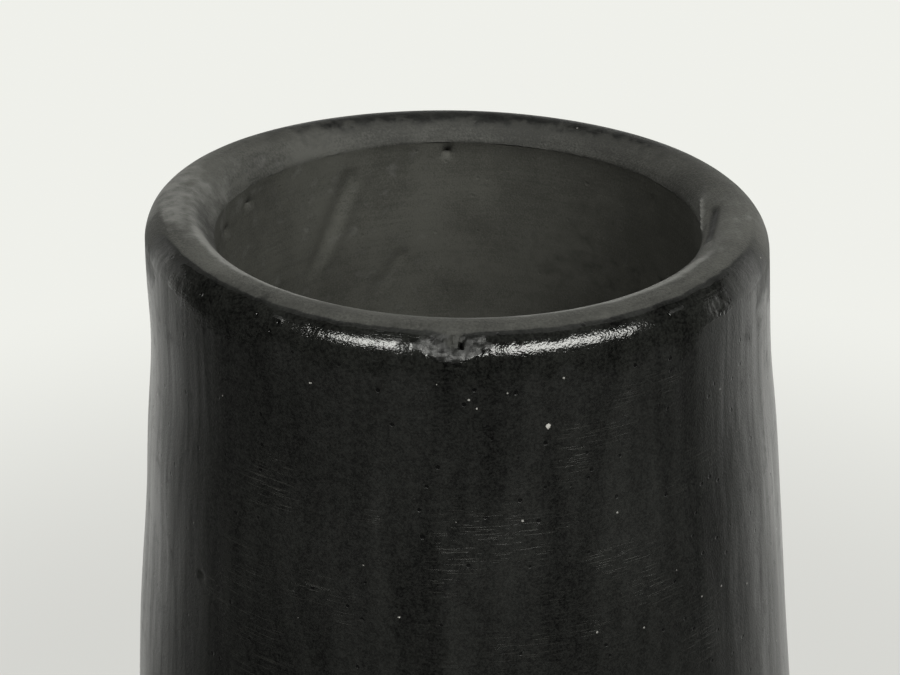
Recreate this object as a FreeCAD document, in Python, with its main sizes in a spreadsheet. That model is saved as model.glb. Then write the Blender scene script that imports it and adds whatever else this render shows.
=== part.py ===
"""Coil-built black clay pot: a patty base, eight courses of flattened coil and a thick rolled lip.

All lengths are millimetres. The pot stands on z = 0 with its axis on +Z. Every piece is a ring of
revolution, cut from one smooth wall: a nearly round lower belly, a tighter upper belly, a hollow
shoulder and a straight tapering neck. Neighbours meet on a scarf: a cone that laps the upper coil over
the bevelled edge of the lower one.
"""
import FreeCAD, Part
import math
import os

import Sketcher

DIMENSIONS = [
    # name, value, what it is
    ("belly_height", 78.0, "height of the widest place"),
    ("lower_belly_radius", 92.0, "arc of the wall below the widest place"),
    ("upper_belly_radius", 70.0, "arc of the wall above the widest place"),
    ("shoulder_radius", 45.0, "hollow arc between belly and neck"),
    ("shoulder_turn", 52.0, "angle above level at which the belly turns into the shoulder"),
    ("neck_taper", 7.0, "angle of the neck wall from upright"),
    ("lip_height", 232.0, "height of the middle of the lip's round"),
    ("lip_ring_radius", 32.1, "radius of the circle that the lip's round follows"),
    ("lip_round_radius", 3.9, "radius of the lip's round"),
    ("wall", 7.4, "thickness of the wall"),
    ("floor_thickness", 8.0, "thickness of the base"),
    ("floor_fillet", 14.0, "inside round between base and wall"),
    ("foot_fillet", 1.5, "worn edge round the resting face"),
    ("scarf_lean", 36.0, "how far a joint leans from square across the wall"),
    ("patty_joint", 16.0, "outside height of the patty's edge"),
    ("lower_wall_joint", 46.0, "outside height of the joint above the lower wall"),
    ("upper_belly_joint", 108.0, "outside height of the joint above the upper belly"),
    ("neck_middle_joint", 186.0, "outside height of the joint below the middle of the neck"),
    ("neck_upper_joint", 207.0, "outside height of the joint below the top of the neck"),
    ("lip_joint", 228.4, "outside height of the joint below the lip"),
]

# Places on the wall that follow from the dimensions. The neck is a cone that runs into the lip's round
# without a corner, and the shoulder's arc touches that cone and the upper belly's arc.
TAPER = "(Size.neck_taper * 1 deg)"
TURN = "(Size.shoulder_turn * 1 deg)"
REACH = "(Size.upper_belly_radius + Size.shoulder_radius)"
CONE_TOP_X = f"(Size.lip_ring_radius + Size.lip_round_radius * cos({TAPER}))"
CONE_TOP_Z = f"(Size.lip_height + Size.lip_round_radius * sin({TAPER}))"
SHOULDER_Z = f"(Size.belly_height + {REACH} * sin({TURN}))"
NECK_JOINT = f"({SHOULDER_Z} - Size.shoulder_radius * sin({TAPER}))"
SHOULDER_JOINT = f"(Size.belly_height + Size.upper_belly_radius * sin({TURN}))"
NECK_FOOT_X = f"({CONE_TOP_X} + ({CONE_TOP_Z} - {NECK_JOINT}) * tan({TAPER}))"
SHOULDER_X = f"({NECK_FOOT_X} + Size.shoulder_radius * cos({TAPER}))"
UPPER_BELLY_X = f"({SHOULDER_X} - {REACH} * cos({TURN}))"
LOWER_BELLY_X = f"({UPPER_BELLY_X} + Size.upper_belly_radius - Size.lower_belly_radius)"
SCARF_LENGTH = "(Size.wall / cos(Size.scarf_lean * 1 deg))"


class WallArc:
    """A round stretch of the wall in section; side is 1 where it bulges and -1 where it is hollow."""

    def __init__(self, centre_x, centre_z, radius, side):
        self.centre = (centre_x, centre_z)
        self.outer_radius = radius
        self.inner_radius = f"({radius} - {side} * Size.wall)"
        self.side = side

    def normal(self, height):
        """Angle above level of the outward direction where the outside has this height."""
        return f"asin({self.side} * ({height} - {self.centre[1]}) / {self.outer_radius})"

    def outer_x(self, height):
        """Distance of the outside from the axis at this height."""
        return f"({self.centre[0]} + {self.side} * {self.outer_radius} * cos({self.normal(height)}))"


class WallCone:
    """The straight stretch of the wall: the neck."""

    def normal(self, height):
        """The outward direction is the same all the way up."""
        return TAPER

    def outer_x(self, height):
        """Distance of the outside from the axis at this height."""
        return f"({CONE_TOP_X} + ({CONE_TOP_Z} - {height}) * tan({TAPER}))"


LOWER_BELLY = WallArc(LOWER_BELLY_X, "Size.belly_height", "Size.lower_belly_radius", 1)
UPPER_BELLY = WallArc(UPPER_BELLY_X, "Size.belly_height", "Size.upper_belly_radius", 1)
SHOULDER = WallArc(SHOULDER_X, SHOULDER_Z, "Size.shoulder_radius", -1)
NECK = WallCone()

# Each course: its name, the stretch of wall that it is cut from, and the outside heights of the joints
# below and above it.
COURSES = [
    ("lower_wall_course", LOWER_BELLY, "Size.patty_joint", "Size.lower_wall_joint"),
    ("belly_course_lower", LOWER_BELLY, "Size.lower_wall_joint", "Size.belly_height"),
    ("belly_course_upper", UPPER_BELLY, "Size.belly_height", "Size.upper_belly_joint"),
    ("shoulder_course_lower", UPPER_BELLY, "Size.upper_belly_joint", SHOULDER_JOINT),
    ("shoulder_course_upper", SHOULDER, SHOULDER_JOINT, NECK_JOINT),
    ("neck_root_course", NECK, NECK_JOINT, "Size.neck_middle_joint"),
    ("neck_middle_course", NECK, "Size.neck_middle_joint", "Size.neck_upper_joint"),
    ("neck_upper_course", NECK, "Size.neck_upper_joint", "Size.lip_joint"),
]

START, END, CENTRE = 1, 2, 3   # which point of an edge a constraint holds
AXES = -1                      # the sketch's own origin, as an edge number

doc = FreeCAD.newDocument("black_clay_pot")
sheet = doc.addObject("Spreadsheet::Sheet", "Size")
for row, (name, number, meaning) in enumerate(DIMENSIONS, start=1):
    sheet.set(f"A{row}", meaning)
    sheet.set(f"B{row}", str(number))
    sheet.setAlias(f"B{row}", name)
doc.recompute()


def measure(expression):
    """An expression's present value, in millimetres or degrees."""
    value = sheet.evalExpression(expression)
    return float(getattr(value, "Value", value))


def scarf_rise(wall, height):
    """Angle above level at which the joint at this height runs from the outside inwards."""
    return f"(Size.scarf_lean * 1 deg - {wall.normal(height)})"


def rough_corners(wall, height):
    """A joint's outside and inside ends, near enough to start the sketch from."""
    outside = (measure(wall.outer_x(height)), measure(height))
    rise = math.radians(measure(scarf_rise(wall, height)))
    reach = measure(SCARF_LENGTH)
    inside = (outside[0] - reach * math.cos(rise), outside[1] + reach * math.sin(rise))
    return outside, inside


class Section:
    """A body with one sketch of its section in the XZ plane, whose sizes all follow the sheet."""

    def __init__(self, name):
        self.body = doc.addObject("PartDesign::Body", name)
        self.body.Label = name
        self.body.Placement = FreeCAD.Placement()
        planes = {feature.Role: feature for feature in self.body.Origin.OriginFeatures}
        self.sketch = self.body.newObject("Sketcher::SketchObject", name + "_section")
        self.sketch.AttachmentSupport = (planes["XZ_Plane"], "")
        self.sketch.MapMode = "FlatFace"

    def line(self, start, end):
        """A straight edge between two rough points, each (x, z)."""
        ends = [FreeCAD.Vector(x, z, 0) for x, z in (start, end)]
        return self.sketch.addGeometry(Part.LineSegment(*ends), False)

    def arc(self, centre, start, end):
        """A round edge, counter-clockwise about a rough centre from one rough point to another."""
        first, last = (math.atan2(z - centre[1], x - centre[0]) for x, z in (start, end))
        if last < first:
            last += 2 * math.pi
        radius = math.dist(centre, start)
        circle = Part.Circle(FreeCAD.Vector(*centre, 0), FreeCAD.Vector(0, 0, 1), radius)
        return self.sketch.addGeometry(Part.ArcOfCircle(circle, first, last), False)

    def join(self, first, second):
        """Two edges' ends, each (edge, point), meet in one corner."""
        self.sketch.addConstraint(Sketcher.Constraint("Coincident", *first, *second))

    def size(self, kind, where, expression):
        """One size that follows the sheet, given as the kind of constraint that holds it."""
        value = measure(expression)
        if kind == "Angle":
            value = math.radians(value)
        if kind in ("DistanceX", "DistanceY"):
            where = (AXES, START, *where)
        index = self.sketch.addConstraint(Sketcher.Constraint(kind, *where, value))
        label = f"{kind}_{index}"
        self.sketch.renameConstraint(index, label)
        self.sketch.setExpression(f"Constraints.{label}", expression)

    def place(self, where, x_expression, z_expression):
        """A corner or centre with a stated distance from the axis and height."""
        self.size("DistanceX", where, x_expression)
        self.size("DistanceY", where, z_expression)

    def wall_arc(self, wall, radius, below, above):
        """One face of a round wall between two rough corners; returns the edge and its lower, upper end."""
        centre = tuple(measure(place) for place in wall.centre)
        start, end = (below, above) if wall.side > 0 else (above, below)
        edge = self.arc(centre, start, end)
        self.place((edge, CENTRE), *wall.centre)
        self.size("Radius", (edge,), radius)
        lower, upper = (START, END) if wall.side > 0 else (END, START)
        return edge, (edge, lower), (edge, upper)

    def scarf(self, wall, height, inside, outside):
        """A joint's edge between two corners that are already there."""
        rough_outside, rough_inside = rough_corners(wall, height)
        edge = self.line(rough_inside, rough_outside)
        self.join((edge, START), inside)
        self.join((edge, END), outside)
        self.size("Angle", (edge,), f"-{scarf_rise(wall, height)}")
        return edge

    def turned(self):
        """Turn the section right round the pot's axis."""
        ring = self.body.newObject("PartDesign::Revolution", self.body.Name + "_turned")
        ring.Profile = (self.sketch, [""])
        ring.ReferenceAxis = (self.sketch, ["V_Axis"])
        ring.Angle = 360.0
        doc.recompute()
        return ring


def make_course(name, wall, low, high):
    """A band of flattened coil with a scarf below and above."""
    section = Section(name)
    low_outside, low_inside = rough_corners(wall, low)
    high_outside, high_inside = rough_corners(wall, high)
    if isinstance(wall, WallCone):
        outer = section.line(low_outside, high_outside)
        inner = section.line(low_inside, high_inside)
        outer_low, outer_high = (outer, START), (outer, END)
        inner_low, inner_high = (inner, START), (inner, END)
        section.place(outer_low, wall.outer_x(low), low)
        section.place(outer_high, wall.outer_x(high), high)
    else:
        outer, outer_low, outer_high = section.wall_arc(wall, wall.outer_radius, low_outside, high_outside)
        inner, inner_low, inner_high = section.wall_arc(wall, wall.inner_radius, low_inside, high_inside)
        section.size("DistanceY", outer_low, low)
        section.size("DistanceY", outer_high, high)
    for height, inside, outside in ((low, inner_low, outer_low), (high, inner_high, outer_high)):
        joint = section.scarf(wall, height, inside, outside)
        if isinstance(wall, WallCone):
            section.size("Distance", (joint,), SCARF_LENGTH)
    section.turned()
    return section.body


def round_edges(body, feature, name, height, radius):
    """Fillet the circular edges that lie at one height."""
    level = measure(height)
    edges = [
        f"Edge{index}"
        for index, edge in enumerate(feature.Shape.Edges, start=1)
        if abs(edge.BoundBox.ZMin - level) < 1e-4 and abs(edge.BoundBox.ZMax - level) < 1e-4
    ]
    fillet = body.newObject("PartDesign::Fillet", name)
    fillet.Base = (feature, edges)
    fillet.setExpression("Radius", radius)
    doc.recompute()
    return fillet


def make_base_patty():
    """The base: a disc of clay whose edge is pressed up into a shallow saucer."""
    section = Section("base_patty")
    edge_outside, edge_inside = rough_corners(LOWER_BELLY, "Size.patty_joint")
    rough_foot = (measure(LOWER_BELLY.outer_x("0")), 0.0)
    rough_floor = (rough_foot[0], measure("Size.floor_thickness"))
    outer, outer_low, outer_high = section.wall_arc(
        LOWER_BELLY, LOWER_BELLY.outer_radius, rough_foot, edge_outside
    )
    inner, inner_low, inner_high = section.wall_arc(
        LOWER_BELLY, LOWER_BELLY.inner_radius, rough_floor, edge_inside
    )
    section.size("DistanceY", outer_high, "Size.patty_joint")
    section.scarf(LOWER_BELLY, "Size.patty_joint", inner_high, outer_high)
    under = section.line((0.0, 0.0), rough_foot)
    floor = section.line((0.0, rough_floor[1]), rough_floor)
    middle = section.line((0.0, 0.0), (0.0, rough_floor[1]))
    for first, second in (
        ((under, START), (AXES, START)),
        ((under, END), outer_low),
        ((floor, END), inner_low),
        ((middle, START), (under, START)),
        ((middle, END), (floor, START)),
    ):
        section.join(first, second)
    for level in (under, floor):
        section.sketch.addConstraint(Sketcher.Constraint("Horizontal", level))
    section.sketch.addConstraint(Sketcher.Constraint("Vertical", middle))
    section.size("DistanceY", (floor, END), "Size.floor_thickness")
    disc = section.turned()
    inside = round_edges(section.body, disc, "floor_round", "Size.floor_thickness", "Size.floor_fillet")
    round_edges(section.body, inside, "foot_round", "0", "Size.foot_fillet")
    return section.body


def make_lip_coil():
    """The mouth: a thick coil that sits on the neck and hangs a little over its inside."""
    section = Section("lip_coil")
    seam_outside, seam_inside = rough_corners(NECK, "Size.lip_joint")
    centre = (measure("Size.lip_ring_radius"), measure("Size.lip_height"))
    cone_top = (measure(CONE_TOP_X), measure(CONE_TOP_Z))
    overhang = (centre[0] - measure("Size.lip_round_radius"), seam_inside[1])
    side = section.line(seam_outside, cone_top)
    bead = section.arc(centre, cone_top, overhang)
    section.place((side, START), NECK.outer_x("Size.lip_joint"), "Size.lip_joint")
    section.place((bead, CENTRE), "Size.lip_ring_radius", "Size.lip_height")
    section.size("Radius", (bead,), "Size.lip_round_radius")
    section.join((side, END), (bead, START))
    section.size("DistanceY", (bead, START), CONE_TOP_Z)
    section.scarf(NECK, "Size.lip_joint", (bead, END), (side, START))
    section.turned()
    return section.body


def check(pieces):
    """Stop if any object failed to rebuild or any piece is not one sound solid."""
    for item in doc.Objects:
        if "Invalid" in item.State or "Error" in item.State:
            raise RuntimeError(f"{item.Name} failed: {item.State}")
    for piece in pieces:
        shape = piece.Shape
        if shape.isNull() or not shape.isValid() or len(shape.Solids) != 1:
            raise RuntimeError(f"{piece.Label} is not one sound solid")
        sketch = piece.Group[0]
        if sketch.solve() != 0 or sketch.FullyConstrained is False:
            raise RuntimeError(f"{sketch.Label} is not fully held by its sizes")


def main():
    """Build every piece from the base up, check them all and write one STEP file each."""
    pieces = [make_base_patty()]
    pieces += [make_course(*course) for course in COURSES]
    pieces.append(make_lip_coil())
    doc.recompute()
    check(pieces)
    os.makedirs("parts", exist_ok=True)
    for piece in pieces:
        piece.Shape.exportStep(f"parts/{piece.Label}.step")
        box = piece.Shape.BoundBox
        print(f"{piece.Label}: {piece.Shape.Volume / 1000:.1f} cm3, z {box.ZMin:.1f} to {box.ZMax:.1f},"
              f" across {box.XLength:.1f}")


main()
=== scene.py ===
"""The looks of a coil-built, burnished, smoke-fired black clay pot, in metres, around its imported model.

Each clay piece is a section turned about the pot's axis by a Geometry Nodes tree, which also gives it the
unevenness of hand building. The marks that a maker and years of use left are then pressed in, and each
piece is dressed in smoke-fired clay: burnished outside, matte and wiped inside and on top of the lip.
"""
import logging
import math
from collections.abc import Callable
from dataclasses import dataclass, field
from enum import Enum
from itertools import pairwise
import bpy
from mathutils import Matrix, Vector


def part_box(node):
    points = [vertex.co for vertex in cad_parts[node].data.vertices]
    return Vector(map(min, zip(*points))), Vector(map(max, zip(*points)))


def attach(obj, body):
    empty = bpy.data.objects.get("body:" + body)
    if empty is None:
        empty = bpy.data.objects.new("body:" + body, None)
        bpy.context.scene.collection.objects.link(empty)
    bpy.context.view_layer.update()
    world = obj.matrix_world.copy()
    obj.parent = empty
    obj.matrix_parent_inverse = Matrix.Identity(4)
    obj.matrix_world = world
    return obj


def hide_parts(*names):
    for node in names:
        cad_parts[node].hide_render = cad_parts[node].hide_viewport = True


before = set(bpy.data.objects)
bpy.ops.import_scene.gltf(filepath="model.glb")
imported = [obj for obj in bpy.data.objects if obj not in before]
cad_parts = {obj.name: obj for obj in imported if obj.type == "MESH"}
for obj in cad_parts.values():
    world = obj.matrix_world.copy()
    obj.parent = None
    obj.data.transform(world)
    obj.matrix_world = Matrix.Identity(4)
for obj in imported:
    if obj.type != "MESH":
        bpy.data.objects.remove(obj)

from types import SimpleNamespace

import bpy
import numpy as np
from mathutils import Vector, noise

MM = 0.001
NECK_RADIUS = 36 * MM  # where strokes drawn round the pot have their true length
ROOT = "root"
log = logging.getLogger("black_clay_pot")

Point = tuple[float, float]
Socket = bpy.types.NodeSocket
Outputs = bpy.types.NodeOutputs


class Skin(Enum):
    """How a stretch of clay is left; the value is its polish. A joint's face is left as the inside is."""

    OUTSIDE = 1.0
    INSIDE = 0.0


# ---------------------------------- the wall


@dataclass(frozen=True)
class WallArc:
    """A round stretch of wall in section.

    side is 1 where the wall bulges and -1 where it is hollow; thickness is across the wall.
    """

    centre: Point
    radius: float
    side: int
    thickness: float

    def at(self, angle: float, inside: bool) -> Point:
        """The wall's outside or inside where its outward direction has this angle."""
        reach = self.side * self.radius - (self.thickness if inside else 0.0)
        return self.centre[0] + reach * math.cos(angle), self.centre[1] + reach * math.sin(angle)

    def scarf(self, height: float, lean: float) -> tuple[Point, Point]:
        """A joint's outside and inside corners.

        Args:
            height: height of the joint's outside corner.
            lean: how far the joint leans from square across the wall, in radians.

        Returns:
            The outside and the inside corner, each (distance from the axis, height).
        """
        normal = math.asin(self.side * (height - self.centre[1]) / self.radius)
        start = self.at(normal, False)
        rise = lean - normal
        inner = abs(self.side * self.radius - self.thickness)
        return start, meet(start, (-math.cos(rise), math.sin(rise)), self.centre, inner, self.side < 0)

    def skin(self, low: Point, high: Point, inside: bool, step: float) -> list[Point]:
        """Points along one face of the wall from a low corner to a high one."""
        ends = [math.atan2(self.side * (z - self.centre[1]), self.side * (x - self.centre[0]))
                for x, z in (low, high)]
        reach = abs(self.side * self.radius - (self.thickness if inside else 0.0))
        count = max(2, round(abs(ends[1] - ends[0]) * reach / step))
        return [self.at(ends[0] + (ends[1] - ends[0]) * k / count, inside) for k in range(count + 1)]


@dataclass(frozen=True)
class WallCone:
    """The straight tapering wall of the neck in section, named from the point where it meets the lip."""

    top: Point
    taper: float
    thickness: float

    def scarf(self, height: float, lean: float) -> tuple[Point, Point]:
        """A joint's outside and inside corners, as on a round wall."""
        start = (self.top[0] + (self.top[1] - height) * math.tan(self.taper), height)
        rise, reach = lean - self.taper, self.thickness / math.cos(lean)
        return start, (start[0] - reach * math.cos(rise), start[1] + reach * math.sin(rise))

    def skin(self, low: Point, high: Point, inside: bool, step: float) -> list[Point]:
        """Points along one face of the wall from a low corner to a high one."""
        return straight(low, high, step)


def meet(start: Point, step: Point, centre: Point, radius: float, far: bool) -> Point:
    """Where a line from a point, along a unit step, meets a circle, on its near side or its far one."""
    away = (start[0] - centre[0], start[1] - centre[1])
    along = away[0] * step[0] + away[1] * step[1]
    root = math.sqrt(along**2 - away[0] ** 2 - away[1] ** 2 + radius**2)
    reach = -along + (root if far else -root)
    return start[0] + reach * step[0], start[1] + reach * step[1]


def straight(start: Point, end: Point, step: float) -> list[Point]:
    """Evenly spaced points on a straight line, about one step apart, both ends included."""
    count = max(1, round(math.dist(start, end) / step))
    return [(start[0] + (end[0] - start[0]) * k / count, start[1] + (end[1] - start[1]) * k / count)
            for k in range(count + 1)]


def turned_arc(centre: Point, radius: float, first: float, last: float, step: float) -> list[Point]:
    """Points round part of a circle, from one angle to another in radians, both ends included."""
    count = max(2, round(abs(last - first) * radius / step))
    angles = [first + (last - first) * k / count for k in range(count + 1)]
    return [(centre[0] + radius * math.cos(a), centre[1] + radius * math.sin(a)) for a in angles]


@dataclass
class PotProfile:
    """The pot's section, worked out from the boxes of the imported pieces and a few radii."""

    lower_belly_radius: float = 92 * MM
    upper_belly_radius: float = 70 * MM
    shoulder_radius: float = 45 * MM
    shoulder_turn: float = math.radians(52)
    taper: float = math.radians(7)
    wall: float = 7.4 * MM
    lip_round: float = 3.9 * MM
    scarf_lean: float = math.radians(36)
    floor_thickness: float = 8 * MM
    floor_fillet: float = 14 * MM
    foot_fillet: float = 1.5 * MM

    def __post_init__(self) -> None:
        """Work out the stretches of wall from the frame."""
        lip_low, lip_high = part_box("lip_coil")
        self.lip_joint = lip_low.z
        self.lip_height = lip_high.z - self.lip_round
        seam_x = lip_high.x
        drop = self.lip_height + self.lip_round * math.sin(self.taper) - self.lip_joint
        cone_top_x = seam_x - drop * math.tan(self.taper)
        self.lip_ring = cone_top_x - self.lip_round * math.cos(self.taper)
        self.belly_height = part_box("belly_course_upper")[0].z
        reach = self.upper_belly_radius + self.shoulder_radius
        shoulder_z = self.belly_height + reach * math.sin(self.shoulder_turn)
        self.neck_joint = shoulder_z - self.shoulder_radius * math.sin(self.taper)
        cone_top = (cone_top_x, self.lip_joint + drop)
        foot_x = cone_top[0] + (cone_top[1] - self.neck_joint) * math.tan(self.taper)
        shoulder_x = foot_x + self.shoulder_radius * math.cos(self.taper)
        upper_x = shoulder_x - reach * math.cos(self.shoulder_turn)
        lower_x = upper_x + self.upper_belly_radius - self.lower_belly_radius
        self.shoulder_joint = self.belly_height + self.upper_belly_radius * math.sin(self.shoulder_turn)
        self.lower_belly = WallArc((lower_x, self.belly_height), self.lower_belly_radius, 1, self.wall)
        self.upper_belly = WallArc((upper_x, self.belly_height), self.upper_belly_radius, 1, self.wall)
        self.shoulder = WallArc((shoulder_x, shoulder_z), self.shoulder_radius, -1, self.wall)
        self.neck = WallCone(cone_top, self.taper, self.wall)
        self.mouth_radius = self.lip_ring + self.lip_round
        self.height = lip_high.z


# ---------------------------------- the turned section tree


class NodeTree:
    """A thin helper that adds nodes to a tree and joins them in one call."""

    def __init__(self, tree: bpy.types.NodeTree) -> None:
        """Keep the tree that nodes are added to."""
        self.tree = tree

    def add(self, kind: str, inputs: dict | None = None, **settings: object) -> bpy.types.Node:
        """Add a node.

        Args:
            kind: the node's type name.
            inputs: for each input, by name or number, a socket to join or a value to set.
            settings: properties of the node itself.

        Returns:
            The new node.
        """
        node = self.tree.nodes.new(kind)
        for name, value in settings.items():
            setattr(node, name, value)
        for key, value in (inputs or {}).items():
            if isinstance(value, Socket):
                self.tree.links.new(value, node.inputs[key])
            else:
                node.inputs[key].default_value = value
        return node

    def math(self, operation: str, *values: object, clamp: bool = False) -> Socket:
        """One sum on numbers or sockets; returns the result's socket."""
        inputs = dict(enumerate(values))
        return self.add("ShaderNodeMath", inputs, operation=operation, use_clamp=clamp).outputs[0]

    def times(self, first: object, second: object) -> Socket:
        """One number or socket times another."""
        return self.math("MULTIPLY", first, second)

    def layered(self, start: object, *layers: tuple[object, object]) -> Socket:
        """A start with layers added to it, each a socket and its share."""
        for value, share in layers:
            start = self.math("MULTIPLY_ADD", value, share, start)
        return start

    def vector(self, operation: str, *values: object) -> Socket:
        """One vector sum; returns the result's socket."""
        return self.add("ShaderNodeVectorMath", dict(enumerate(values)), operation=operation).outputs[0]

    def scaled(self, vector: Socket, factor: object) -> Socket:
        """A vector times a number."""
        inputs = {"Vector": vector, "Scale": factor}
        return self.add("ShaderNodeVectorMath", inputs, operation="SCALE").outputs[0]

    def length(self, vector: Socket) -> Socket:
        """How long a vector is."""
        return self.add("ShaderNodeVectorMath", {0: vector}, operation="LENGTH").outputs["Value"]

    def joined(self, x: object = 0.0, y: object = 0.0, z: object = 0.0) -> Socket:
        """A vector made of three numbers or sockets."""
        return self.add("ShaderNodeCombineXYZ", {0: x, 1: y, 2: z}).outputs[0]

    def parts(self, vector: Socket) -> Outputs:
        """A vector's three numbers."""
        return self.add("ShaderNodeSeparateXYZ", {0: vector}).outputs

    def noise(self, place: Socket, detail: float, scale: float = 1.0, roughness: float = 0.5) -> Socket:
        """Smooth noise from 0 to 1."""
        inputs = {"Vector": place, "Scale": scale, "Detail": detail, "Roughness": roughness}
        return self.add("ShaderNodeTexNoise", inputs).outputs[0]

    def ramp(self, value: object, low: float, high: float, first: float = 0.0, last: float = 1.0,
             smooth: bool = True) -> Socket:
        """Map a value between two limits onto another range, with soft ends unless told otherwise."""
        kind = "SMOOTHSTEP" if smooth else "LINEAR"
        inputs = {0: value, 1: low, 2: high, 3: first, 4: last}
        return self.add("ShaderNodeMapRange", inputs, interpolation_type=kind).outputs[0]


def emptied(owner: bpy.types.Material | bpy.types.World) -> NodeTree:
    """The node tree of a material or a world, switched on and cleared."""
    owner.use_nodes = True
    owner.node_tree.nodes.clear()
    return NodeTree(owner.node_tree)


def placed(name: str, data: bpy.types.ID) -> bpy.types.Object:
    """A new object, linked to the scene."""
    thing = bpy.data.objects.new(name, data)
    bpy.context.scene.collection.objects.link(thing)
    return thing


@dataclass(frozen=True)
class HandBuilding:
    """How uneven the clay is, for one piece; every depth is in metres."""

    lump_depth: float = 0.30 * MM
    lump_size: float = 55 * MM
    ripple_depth: float = 0.10 * MM
    ripple_height: float = 13 * MM
    stroke_depth: float = 0.035 * MM
    stroke_width: float = 6 * MM
    wipe_depth: float = 0.035 * MM
    wipe_width: float = 4 * MM


class TurningTree:
    """The Geometry Nodes tree that turns a section about the axis and gives it a hand-built surface."""

    COLUMNS = 720
    CROWDING = 0.5
    CALM_RADIUS = 30 * MM
    WELD = 1e-6

    def __init__(self) -> None:
        """Build the tree once; every piece uses it with its own values."""
        self.tree = bpy.data.node_groups.new("turned_clay", "GeometryNodeTree")
        self.sockets: dict[str, str] = {}
        self._socket("Section", "NodeSocketGeometry")
        self._socket("Columns", "NodeSocketInt", self.COLUMNS)
        self._socket("Front Crowding", "NodeSocketFloat", self.CROWDING)
        for item in HandBuilding.__dataclass_fields__.values():
            self._socket(item.name.replace("_", " ").title(), "NodeSocketFloat", item.default)
        self._socket("Seed", "NodeSocketFloat", 3.0)
        self._socket("Clay", "NodeSocketMaterial")
        self.tree.interface.new_socket("Piece", in_out="OUTPUT", socket_type="NodeSocketGeometry")
        self._build()

    def _socket(self, name: str, kind: str, value: float | None = None) -> None:
        """Add one named input and remember its identifier."""
        socket = self.tree.interface.new_socket(name, in_out="INPUT", socket_type=kind)
        if value is not None:
            socket.default_value = value
        self.sockets[name] = socket.identifier

    def _build(self) -> None:
        """Lay out the nodes: a grid wrapped round the axis, then moved by the clay's unevenness."""
        n = NodeTree(self.tree)
        given = n.add("NodeGroupInput").outputs
        size = n.add("GeometryNodeAttributeDomainSize", {0: given["Section"]})
        rows = size.outputs["Point Count"]
        columns = n.math("ADD", given["Columns"], 1.0)
        grid = n.add("GeometryNodeMeshGrid", {"Vertices X": columns, "Vertices Y": rows})
        index = n.add("GeometryNodeInputIndex").outputs[0]
        column = n.math("FLOOR", n.math("DIVIDE", n.math("ADD", index, 0.5), rows))
        row = n.math("SUBTRACT", index, n.times(column, rows))
        place = self._sampled(n, given["Section"], row, n.add("GeometryNodeInputPosition").outputs[0],
                              "FLOAT_VECTOR")
        polish = self._sampled(n, given["Section"], row, self._named(n, "polish"), "FLOAT")
        turn = n.math("SUBTRACT", n.math("DIVIDE", column, given["Columns"]), 0.5)
        turn = n.times(turn, 2 * math.pi)
        azimuth = n.math("SUBTRACT", turn, n.times(n.math("SINE", turn), given["Front Crowding"]))
        radius, _, height = n.parts(place)
        outward = n.joined(n.math("SINE", azimuth), n.times(n.math("COSINE", azimuth), -1.0))
        raised = n.vector("ADD", n.scaled(outward, radius), n.joined(z=height))
        spot = n.vector("ADD", raised, n.joined(given["Seed"]))
        shift = n.times(self._unevenness(n, given, spot, polish), n.ramp(radius, 0.0, self.CALM_RADIUS))
        moved = n.vector("ADD", raised, n.scaled(outward, shift))
        wrapped = n.add("GeometryNodeSetPosition", {"Geometry": grid.outputs["Mesh"], "Position": moved})
        kept = n.add("GeometryNodeStoreNamedAttribute", {
            "Geometry": wrapped.outputs[0], "Name": "polish", "Value": polish}, data_type="FLOAT")
        welded = n.add("GeometryNodeMergeByDistance", {"Geometry": kept.outputs[0],
                                                       "Distance": self.WELD})
        real = n.add("GeometryNodeRealizeInstances", {"Geometry": welded.outputs[0]})
        clad = n.add("GeometryNodeSetMaterial", {"Geometry": real.outputs[0], "Material": given["Clay"]})
        n.add("NodeGroupOutput", {0: clad.outputs[0]})

    @staticmethod
    def _named(n: NodeTree, name: str) -> Socket:
        """A number stored on the section under this name."""
        return n.add("GeometryNodeInputNamedAttribute", {"Name": name}, data_type="FLOAT").outputs[0]

    @staticmethod
    def _sampled(n: NodeTree, section: Socket, row: Socket,
                 value: Socket, kind: str) -> Socket:
        """What the section has at one of its points."""
        node = n.add("GeometryNodeSampleIndex", {"Geometry": section, "Index": row}, data_type=kind,
                     domain="POINT")
        n.tree.links.new(value, node.inputs["Value"])
        return node.outputs[0]

    @staticmethod
    def _waves(n: NodeTree, spot: Socket, stretch: Socket) -> Socket:
        """Smooth noise from -1 to 1 over the clay, at so many waves a metre each way."""
        return n.math("MULTIPLY_ADD", n.noise(n.vector("MULTIPLY", spot, stretch), 1.0), 2.0, -1.0)

    def _unevenness(self, n: NodeTree, given: Outputs, spot: Socket,
                    polish: Socket) -> Socket:
        """How far out the clay stands: lumps, coil ripples, burnishing strokes outside, wiping inside."""
        lump, ripple, stroke, wipe = (n.math("DIVIDE", 1.0, given[name]) for name in (
            "Lump Size", "Ripple Height", "Stroke Width", "Wipe Width"))
        matte = n.math("SUBTRACT", 1.0, polish)
        rows = (
            (lump, lump, given["Lump Depth"]),
            (n.times(ripple, 0.2), ripple, given["Ripple Depth"]),
            (stroke, n.times(stroke, 0.08), n.times(polish, given["Stroke Depth"])),
            (n.times(wipe, 0.15), wipe, n.times(matte, given["Wipe Depth"])),
        )
        return n.layered(0.0, *((self._waves(n, spot, n.joined(level, level, upright)), depth)
                                for level, upright, depth in rows))

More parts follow.
